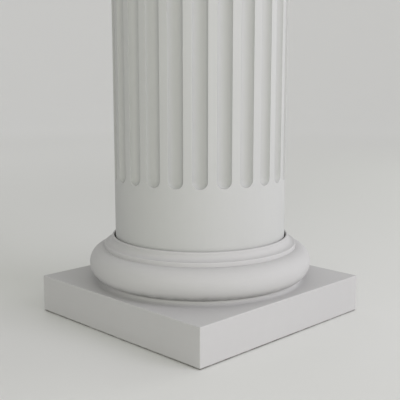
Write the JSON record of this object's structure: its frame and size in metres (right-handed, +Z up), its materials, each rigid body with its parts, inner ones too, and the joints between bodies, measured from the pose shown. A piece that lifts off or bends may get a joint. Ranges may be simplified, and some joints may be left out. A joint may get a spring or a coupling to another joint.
{
  "type": "fluted column",
  "caption": "Free-standing round column with round-ended flutes, a square plinth under a torus base, and a plain square-topped capital.",
  "frame": {"origin": "centre of the plinth's underside, on the floor that the column stands on", "axes": "+Z up along the column's axis; +X and +Y square to the plinth's sides"},
  "size_m": [0.4014, 0.4014, 2.4],
  "materials": {
    "base_paint": "matt off-white paint on a smooth cast surface",
    "shaft_paint": "matt off-white paint on a smooth cast surface"
  },
  "bodies": {
    "root": {"base": "base_paint", "shaft": "shaft_paint", "capital": "base_paint"}
  },
  "joints": []
}
